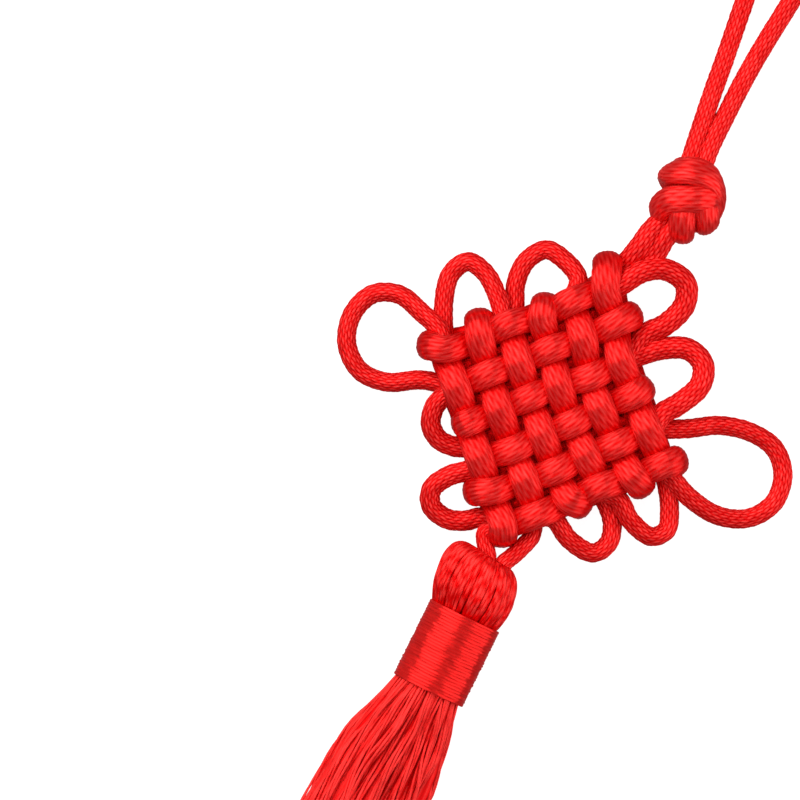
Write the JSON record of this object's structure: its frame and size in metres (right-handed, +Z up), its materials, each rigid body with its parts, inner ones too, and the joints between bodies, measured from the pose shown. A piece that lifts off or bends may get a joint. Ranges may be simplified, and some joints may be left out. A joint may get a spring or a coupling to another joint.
{
  "type": "woven tassel pendant",
  "caption": "Flat pendant knotted from satin cord: a woven square body with looped ears, a button knot and hanging loop above it, and a bound tassel below.",
  "frame": {"origin": "middle of the underside of the pendant's box, on the surface that it lies on", "axes": "+Y along the pendant, from the tassel to the hanging loop; +X across it; +Z up, out of the face that shows"},
  "size_m": [0.0602, 0.2502, 0.0094],
  "materials": {
    "satin_cord": "braided satin",
    "tassel_floss": "glossy twisted floss",
    "binding_thread": "glossy wound thread"
  },
  "bodies": {
    "root": {"knotted_cord": "satin_cord", "tassel": "tassel_floss", "tassel_binding": "binding_thread"}
  },
  "joints": []
}
